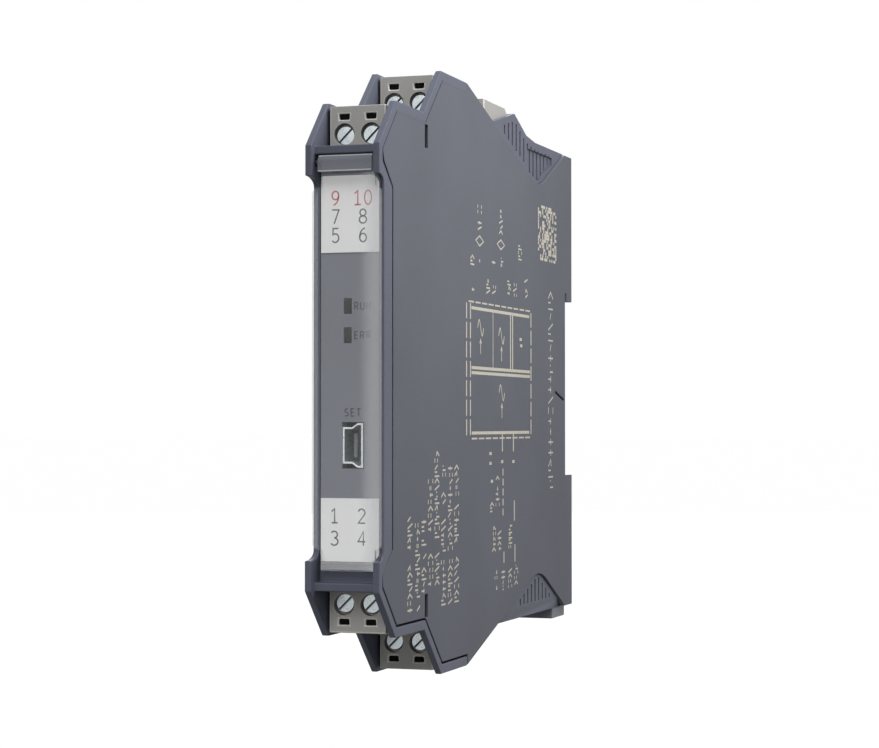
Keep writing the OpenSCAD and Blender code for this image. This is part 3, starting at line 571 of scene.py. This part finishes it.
def strips(name, pairs, material, half, top, foot=0.3):
    """Strips along pairs of (d, z) points, between the depths top and foot under the right side.

    half is half the width of a strip.
    """
    verts, faces = [], []
    for a, b in pairs:
        a, b = Vector(a), Vector(b)
        step = (b - a).normalized()
        side = Vector((-step.y, step.x)) * half
        faces += prism_faces(len(verts), flip=True)
        verts += [at(x, p.x, p.y) for x in (RIGHT_X - foot, RIGHT_X - top)
                  for p in (a - side, b - side, b + side, a + side)]
    return add_mesh(name, verts, faces, material, "housing", "cover")


def links(line):
    """Pairs of neighbouring points of a line."""
    return list(zip(line, line[1:]))


# Black floors of the plugs' test slots, painted shade: height over the deck, width, height, depth in and
# thickness
PROBE_V, PROBE_W, PROBE_H, PROBE_IN, PROBE_T = 5.5, 1.6, 0.9, 0.3, 0.2
for name, d, deck, side in PLUGS:
    z = side * (deck + PROBE_V)
    floors = []
    for x in (-POLE_X, POLE_X):
        near = (x - PROBE_W / 2, d + PROBE_IN, z - PROBE_H / 2)
        far = (x + PROBE_W / 2, d + PROBE_IN + PROBE_T, z + PROBE_H / 2)
        floors.append((near, far))
    box_mesh("probe_" + name, floors, SHADE_BLACK, "plug_" + name, "plug")

# Black floors of the cover's snap windows, painted shade
SNAP_IN, SNAP_T = 0.9, 0.5            # depth of their foot under the right side, and thickness
SNAP_D0, SNAP_D1 = 22.85, 24.35
SNAP_Z, SNAP_H = (37.55, -41.35), 3.8
box_mesh("snap_floors", [
    ((RIGHT_X - SNAP_IN, SNAP_D0, z), (RIGHT_X - SNAP_IN + SNAP_T, SNAP_D1, z + SNAP_H)) for z in SNAP_Z
], SHADE_BLACK, "housing", "cover")

# Seam of the cover in (d, z): along the front, and from there over the ears
FRONT_SEAM_D, FRONT_SEAM_Z = 6.47, 29.2
EAR_SEAM = [(1.63, 35.02), (8.47, 41.77), (23.03, 41.77), (32.13, 50.07), (46.3, 50.07)]
EAR_LINE = [(FRONT_SEAM_D, FRONT_SEAM_Z), (2.0, 33.0)] + EAR_SEAM + [(46.5, 51.3)]
EAR_SLOPES = [EAR_SEAM[0:2], EAR_SEAM[2:4]]

# Black backing half way down the seam, painted shade, so that no daylight shows through it
backing = [((FRONT_SEAM_D, -FRONT_SEAM_Z), (FRONT_SEAM_D, FRONT_SEAM_Z))]
for side in (1, -1):
    backing += links([(d, side * z) for d, z in EAR_LINE])
strips("seam_back", backing, SHADE_BLACK, half=0.6, top=0.55, foot=1.0)

# The seam is closed on the upper ears, with a thin dark line of painted shade along their slopes
strips("seam_fill", links(EAR_SEAM), COVER, half=0.23, top=0.012)
strips("seam_line", EAR_SLOPES, SEAM_SHADE, half=0.13, top=0.006)

# Two pale ridges along the flap's neck, which paint its highlights, and a paler band at its foot
RIDGE_X, BAND_X = 4.55, 4.6
UPPER_RIDGE = ((-RIDGE_X, 1.44, 33.96), (RIDGE_X, 1.7, 34.14))
LOWER_RIDGE = ((-RIDGE_X, 0.95, 31.5), (RIDGE_X, 1.2, 31.68))
FOOT_BAND = ((-BAND_X, 2.72, -32.3), (BAND_X, 3.18, -31.0))
box_mesh("flap_ridges", [UPPER_RIDGE, LOWER_RIDGE], FLAP_HIGHLIGHT, "flap", "flap")
box_mesh("flap_foot", [FOOT_BAND], FLAP_FOOT, "flap", "flap")


# Lettering: centre lines in a cell CELL_W wide and 1 high

CELL_W = 0.56
INK_T = 0.02                  # thickness of the lettering
INK_OUT = 0.005               # how far its middle lies before the face
DIGIT_H, LEGEND_H = 2.25, 1.15


def bow(x, y, rx, ry, a0, a1, steps=12):
    """Arc of an ellipse about (x, y) between two angles in degrees."""
    angles = [math.radians(a0 + (a1 - a0) * k / steps) for k in range(steps + 1)]
    return [(x + rx * math.cos(a), y + ry * math.sin(a)) for a in angles]


SIX = [bow(0.29, 0.3, 0.25, 0.3, 180, 540, 24), bow(0.54, 0.34, 0.5, 0.66, 180, 102)]
STROKES = {
    "0": [bow(0.28, 0.5, 0.26, 0.5, 90, 450, 28)],
    "1": [[(0.05, 0.8), (0.28, 1), (0.28, 0)], [(0.05, 0), (0.51, 0)]],
    "2": [bow(0.28, 0.73, 0.25, 0.27, 160, -28) + [(0.04, 0), (0.55, 0)]],
    "3": [bow(0.25, 0.76, 0.24, 0.24, 150, -90), bow(0.25, 0.26, 0.28, 0.26, 90, -150)],
    "4": [[(0.42, 0), (0.42, 1), (0.02, 0.28), (0.58, 0.28)]],
    "5": [[(0.49, 1), (0.1, 1), (0.08, 0.55)] + bow(0.26, 0.31, 0.27, 0.31, 120, -145)],
    "6": SIX,
    "7": [[(0.02, 1), (0.54, 1), (0.18, 0)]],
    "8": [bow(0.28, 0.76, 0.22, 0.24, 90, 450, 24), bow(0.28, 0.26, 0.27, 0.26, 90, 450, 24)],
    "9": [[(CELL_W - x, 1 - y) for x, y in line] for line in SIX],
    "R": [[(0.04, 0), (0.04, 1), (0.28, 1)] + bow(0.28, 0.74, 0.25, 0.26, 90, -90) + [(0.04, 0.48)],
          [(0.3, 0.48), (0.55, 0)]],
    "U": [[(0.04, 1), (0.04, 0.28)] + bow(0.29, 0.28, 0.25, 0.28, 180, 360) + [(0.54, 1)]],
    "N": [[(0.04, 0), (0.04, 1), (0.54, 0), (0.54, 1)]],
    "E": [[(0.5, 1), (0.05, 1), (0.05, 0), (0.5, 0)], [(0.05, 0.52), (0.44, 0.52)]],
    "S": [bow(0.28, 0.75, 0.23, 0.25, 40, 270) + bow(0.28, 0.25, 0.25, 0.25, 90, -145)[1:]],
    "T": [[(0.01, 1), (0.57, 1)], [(0.29, 1), (0.29, 0)]],
}
# Words, x and z of their middle
NUMBERS = (
    ("9", -2.5, 27.4), ("10", 2.2, 27.4), ("7", -2.5, 24.4), ("8", 2.2, 24.4), ("5", -2.5, 21.4),
    ("6", 2.2, 21.4), ("1", -2.6, -23.7), ("2", 2.0, -23.7), ("3", -2.6, -27.3), ("4", 2.0, -27.3),
)
RED_NUMBERS = ("9", "10")
LEGENDS = (("RUN", 2.0, 10.0), ("ERR", 2.0, 5.3), ("SET", 0.35, -7.1))


def ribbon(line, width):
    """Left and right edges of a stroke of the given width along a centre line."""
    points = [Vector(p) for p in line]
    closed = (points[0] - points[-1]).length < 1e-4
    left, right = [], []
    for i, p in enumerate(points):
        before = points[i - 1] if i else (points[-2] if closed else None)
        after = points[i + 1] if i + 1 < len(points) else (points[1] if closed else None)
        normals = []
        for a, b in ((before, p), (p, after)):
            if a is not None and b is not None:
                step = (b - a).normalized()
                normals.append(Vector((-step.y, step.x)))
        normal = sum(normals, Vector((0, 0))).normalized()
        reach = width / 2 / max(0.6, normal.dot(normals[0]))
        left.append(p + normal * reach)
        right.append(p - normal * reach)
    return left, right


def lettering(name, words, x, d, z, height, material, slot="label", width=0.105, advance=0.78):
    """Flat generic lettering that faces the front, with its middle at (x, d, z)."""
    verts, faces = [], []
    span = advance * (len(words) - 1) + CELL_W
    for place, letter in enumerate(words):
        start = advance * place - span / 2
        for line in STROKES[letter]:
            left, right = ribbon(line, width)
            k = len(verts)
            for pair in zip(left, right):
                verts += [at(x + (p.x + start) * height, d, z + (p.y - 0.5) * height) for p in pair]
            faces += [(k + 2 * i, k + 2 * i + 1, k + 2 * i + 3, k + 2 * i + 2) for i in range(len(left) - 1)]
    obj = add_mesh(name, verts, faces, material, "housing", slot)
    thick = obj.modifiers.new("ink", "SOLIDIFY")
    thick.thickness = INK_T * MM
    thick.offset = 0.0


for words, x, z in NUMBERS:
    ink = INK_RED if words in RED_NUMBERS else INK_GREY
    lettering("number_" + words, words, x, LABEL_D - INK_OUT, z, DIGIT_H, ink)
for words, x, z in LEGENDS:
    name = "legend_" + words.lower()
    place = (x, PANEL_D - INK_OUT, z)
    lettering(name, words, *place, LEGEND_H, INK_DARK, slot="panel", width=0.16, advance=0.9)


# Side print: a plain block diagram and rows of marks without lettering, in (d, z) on the cover

FINE_W, BOLD_W = 0.3, 0.55    # widths of the lines
INK_FOOT = 0.01               # how far the ink reaches into the cover, mm
INK_TOP = 0.004               # depth of the highest patch of ink under the solid's face, mm
INK_STEP, INK_LEVELS = 0.0025, 9
MARK_W = 0.62                 # width of a mark as a share of its pitch
NEAR_REACH, FAR_REACH = (0.3, 1.0, 1.0), (0.2, 1.0, 1.0)    # reaches of a mark to choose from
# Rows of marks: depth, low end and high end
TYPE_ROWS = (
    (15.0, -39.9, -23.4), (18.9, -39.9, -24.4), (22.2, -37.2, -23.6), (25.7, -37.4, -16.6),
    (29.2, -37.4, -12.2), (32.7, -39.9, -15.4), (36.5, -40, -15.4), (40.1, -39.9, -15),
)
NOTE_ROWS = (
    (53.8, 26.1, 31.4), (67.2, 26.4, 31.8), (80.0, 22.5, 26.8), (49.4, 19.6, 22.2), (53.8, 20.2, 22.3),
    (62.5, 19.5, 22.4), (67.6, 20.3, 22.6), (49.4, 14.8, 17.9), (59.1, 14.9, 18.2), (62.7, 15.0, 18.2),
    (72.6, 15.3, 18.4), (76.4, 15.2, 18.4), (84.1, 15.4, 19.8), (65.0, -24.2, -18.3), (61.4, -26.0, -22.6),
    (62.6, -32.4, -27.2), (66.2, -32.4, -27.2), (73.4, -32.4, -27.4), (64.4, -39.6, -35.2),
    (68.6, -39.8, -35.4), (73.2, -39.8, -35.4), (77.2, -39.4, -35.4),
)
LONG_ROW = (102.0, -23.8, 19.5)
DIAMONDS = ((53.8, 24.1), (67.2, 24.4))
DIAMOND_D, DIAMOND_Z = 2.4, 0.9
# Diagram: lines along the depth as (d, d, z), and upright ones as (d, top, foot)
FRAME_DASHES = ((47.2, 87.8, 12.9), (49.0, 87.8, -11.6))
UPRIGHT_DASHES = (45.9, 48.2, 87.6)
FRAME_TOP, FRAME_FOOT = 12.6, -11.6
LEVELS = ((48.8, 86.4, 11.8), (48.9, 86.8, 1.1), (48.9, 86.8, 0.2), (49.0, 86.3, -10.6))
THIN_UPRIGHT = (62.1, 11.5, 1.4)
UPRIGHTS = (
    (73.5, 11.5, 1.4), (74.9, 11.5, 1.4), (68.1, -10.9, -14.1), (75.4, -10.9, -14.2),
    (76.0, -23.5, -27.3), (69.1, -32.8, -34.9), (76.4, -31.8, -35.1),
)
DASHED_WIRE = (68.5, -17.3, -26.6)
TICKS = (
    (68.0, -16.0), (75.4, -16.1), (60.5, -14.4), (60.5, -16.2), (61.4, -19.5), (80.4, 7.2), (80.8, 6.0),
)
TICK_HALF = 0.7
WAVES = ((54.4, 8.4), (67.6, 7.4), (67.8, -3.2))
WAVE_SIZE = 3.6
ARROW_DROP, ARROW_SIZE = 3.4, 1.3
# Square of random dots: its corner, number of dots, and their pitch and size
DOT_D, DOT_Z, DOT_COUNT = 92.8, 23.4, 18
DOT_PITCH, DOT_SIZE = (0.76, 0.61), (0.7, 0.56)


def dashes(lines, d0, z0, d1, z1, step, fill):
    """Dashed line of which each step is inked over the share fill."""
    count = max(1, int(math.hypot(d1 - d0, z1 - z0) / step))
    for i in range(count):
        lines.append([(d0 + (d1 - d0) * t, z0 + (z1 - z0) * t) for t in (i / count, (i + fill) / count)])


def mark_row(lines, rng, d, z_low, z_high, size, pitch, gaps):
    """Row of marks that climbs along z with its middle at d, as greeked type without letters."""
    half, z = size / 2, z_low
    wide = pitch * MARK_W
    while z + pitch < z_high:
        if rng.random() > gaps:
            near = d - half * rng.choice(NEAR_REACH)
            far = d + half * rng.choice(FAR_REACH)
            lines += rng.choice((
                [[(near, z), (far, z)], [(near, z + wide), (d, z + wide)]],
                [[(near, z), (near, z + wide)], [(far, z), (far, z + wide)]],
                [[(near, z), (far, z + wide)]],
                [[(d, z), (d, z + wide)], [(near, z + wide / 2), (far, z + wide / 2)]],
                [[(near, z), (d, z + wide), (far, z)]],
            ))
        z += pitch


def wave(d, z, size):
    """One period of a sine along the depth."""
    return [(d + size * (k / 12 - 0.5), z + 0.4 * size * math.sin(k * math.pi / 6)) for k in range(13)]


def arrow(d, z, size):
    """Arrow along z with an open head."""
    wing = z + size * 0.45
    return [[(d, z - size), (d, z + size)], [(d - size * 0.4, wing), (d, z + size), (d + size * 0.4, wing)]]


def mark_rows(fine, rng):
    for row in TYPE_ROWS:
        mark_row(fine, rng, *row, size=2.4, pitch=1.15, gaps=0.14)
    for row in NOTE_ROWS:
        mark_row(fine, rng, *row, size=2.2, pitch=0.98, gaps=0.12)
    mark_row(fine, rng, *LONG_ROW, size=3.4, pitch=2.1, gaps=0.1)


def diagram(fine, bold):
    for d, z in DIAMONDS:
        corners = [(d - DIAMOND_D, z), (d, z - DIAMOND_Z), (d + DIAMOND_D, z), (d, z + DIAMOND_Z)]
        fine.append(corners + corners[:1])
    for d0, d1, z in FRAME_DASHES:
        dashes(fine, d0, z, d1, z, step=4.0, fill=0.76)
    for d in UPRIGHT_DASHES:
        dashes(bold, d, FRAME_TOP, d, FRAME_FOOT, step=3.4, fill=0.82)
    for d0, d1, z in LEVELS:
        bold.append([(d0, z), (d1, z)])
    d, top, foot = THIN_UPRIGHT
    fine.append([(d, top), (d, foot)])
    for d, top, foot in UPRIGHTS:
        bold.append([(d, top), (d, foot)])
    d, top, foot = DASHED_WIRE
    dashes(bold, d, top, d, foot, step=1.8, fill=0.7)
    for d, z in TICKS:
        bold.append([(d - TICK_HALF, z), (d + TICK_HALF, z)])
    for d, z in WAVES:
        fine.append(wave(d, z, WAVE_SIZE))
        fine += arrow(d, z - ARROW_DROP, ARROW_SIZE)


def dot_square(rng):
    """Outlines of the dots of a random square that says nothing."""
    outlines = []
    for i in range(DOT_COUNT):
        for k in range(DOT_COUNT):
            if rng.random() < 0.5:
                d, z = DOT_D + DOT_PITCH[0] * i, DOT_Z + DOT_PITCH[1] * k
                d1, z1 = d + DOT_SIZE[0], z + DOT_SIZE[1]
                outlines.append([(d, z), (d1, z), (d1, z1), (d, z1)])
    return outlines


def side_print():
    rng = random.Random(11)
    fine, bold, patches = [], [], []
    mark_rows(fine, rng)
    diagram(fine, bold)
    for width, group in ((FINE_W, fine), (BOLD_W, bold)):
        for line in group:
            left, right = ribbon(line, width)
            patches += [[right[i], right[i + 1], left[i + 1], left[i]] for i in range(len(left) - 1)]
    patches += dot_square(rng)
    verts, faces = [], []
    low = RIGHT_X - PRINT_LOW - INK_FOOT
    for count, outline in enumerate(patches):
        # Neighbouring patches of ink lie at different levels, so that crossing ones don't coincide
        top = RIGHT_X - INK_TOP - INK_STEP * (count % INK_LEVELS)
        k, n = len(verts), len(outline)
        verts += [at(x, d, z) for x in (low, top) for d, z in outline]
        faces.append(tuple(k + n + i for i in range(n)))
        faces += [(k + i, k + (i + 1) % n, k + n + (i + 1) % n, k + n + i) for i in range(n)]
    add_mesh("side_print", verts, faces, INK_PALE, "housing", "cover")


side_print()


# Stage, lights and camera

FLOOR_Z = -66.5               # clear of the lower plugs when they are pulled off, mm
FLOOR_HALF = 9                # m
FLOOR_GLOW = 0.9              # white of the floor to the camera, beside its own shade
FLOOR_SHADES = ((0.12, 0.12, 0.12, 1), (0.13, 0.13, 0.13, 1))
FLOOR_CORNERS = ((-1, -1), (1, -1), (1, 1), (-1, 1))
IMAGE_W, FOCAL_PX = 879, 2255.19      # the photo's width and the fitted focal length, in pixels
LENS_FIT = 1.012              # brings the module to its size in the photo
SENSOR_W = 36.0
EYE = Vector((0.12792, -0.45316, -0.00874))
TARGET = Vector((0.0, -0.0635, 0.0))


def seen(tree):
    """1 for the rays that show the background: the camera's, mirrored and transmitted ones."""
    path = tree.nodes.new("ShaderNodeLightPath")
    value = path.outputs["Is Camera Ray"]
    for name in ("Is Glossy Ray", "Is Transmission Ray"):
        add = tree.nodes.new("ShaderNodeMath")
        add.operation = "ADD"
        add.use_clamp = True
        tree.links.new(value, add.inputs[0])
        tree.links.new(path.outputs[name], add.inputs[1])
        value = add.outputs[0]
    return value


def camera_glow(tree, bsdf, level):
    """White light for the rays that show the background, so that it lights no matt surface."""
    bsdf.inputs["Emission Color"].default_value = (1, 1, 1, 1)
    tree.links.new(spread(tree, seen(tree), 0.0, level, 0.0, 1.0), bsdf.inputs["Emission Strength"])


def floor():
    """Wide pale floor that keeps the part's shadow."""
    mesh = bpy.data.meshes.new("floor")
    verts = [(x * FLOOR_HALF, y * FLOOR_HALF, FLOOR_Z * MM) for x, y in FLOOR_CORNERS]
    mesh.from_pydata(verts, [], [(0, 1, 2, 3)])
    mat, tree, bsdf = new_material("floor_pale")
    grain = noise(tree, object_coords(tree), 30, 3)
    tree.links.new(ramp(tree, grain, *FLOOR_SHADES), bsdf.inputs["Base Color"])
    bsdf.inputs["Roughness"].default_value = 1.0
    bsdf.inputs["Specular IOR Level"].default_value = 0.0
    camera_glow(tree, bsdf, FLOOR_GLOW)
    mesh.materials.append(mat)
    obj = bpy.data.objects.new("floor", mesh)
    scene.collection.objects.link(obj)


def place_looking(name, data, place, heading):
    """Object at a place that looks along a heading, with its own y axis up."""
    obj = bpy.data.objects.new(name, data)
    obj.location = place
    obj.rotation_mode = "QUATERNION"
    obj.rotation_quaternion = Vector(heading).to_track_quat("-Z", "Y")
    scene.collection.objects.link(obj)
    return obj


def lamp(name, place, aim, size, power):
    data = bpy.data.lights.new(name, "AREA")
    data.shape = "RECTANGLE"
    data.size, data.size_y = size
    data.energy = power
    place_looking(name, data, place, Vector(aim) - Vector(place)).visible_camera = False


def sun(name, heading, strength, spread_deg):
    data = bpy.data.lights.new(name, "SUN")
    data.energy = strength
    data.angle = math.radians(spread_deg)
    place_looking(name, data, (0, 0, 0), heading)


def world_light(strength):
    """Even light from all round, white to the camera."""
    world = bpy.data.worlds.new("studio")
    world.use_nodes = True
    tree = world.node_tree
    background = tree.nodes["Background"]
    background.inputs["Color"].default_value = (1.0, 1.0, 1.0, 1)
    tree.links.new(spread(tree, seen(tree), strength, 1.0, 0.0, 1.0), background.inputs["Strength"])
    scene.world = world


floor()
world_light(0.21)
sun("key", (-0.06, 0.8, -0.62), strength=1.54, spread_deg=40)
sun("top", (-0.08, 0.14, -1.0), strength=0.4, spread_deg=40)
sun("low", (0.0, 1.0, -0.03), strength=0.5, spread_deg=20)
sun("left", (1.0, -0.15, -0.22), strength=1.7, spread_deg=40)
lamp("side", (0.15, -0.085, 0.155), aim=(0, -0.08, 0.05), size=(0.08, 0.2), power=0.6)
lamp("rear", (-0.3, 0.8, 0.35), aim=(0, -0.06, 0), size=(0.7, 0.7), power=5)

camera = bpy.data.cameras.new("camera")
camera.lens = FOCAL_PX / IMAGE_W * SENSOR_W * LENS_FIT
camera.sensor_width = SENSOR_W
camera.clip_start = 0.01
scene.camera = place_looking("camera", camera, EYE, TARGET - EYE)
scene.view_settings.view_transform = "Standard"

bpy.context.view_layer.update()
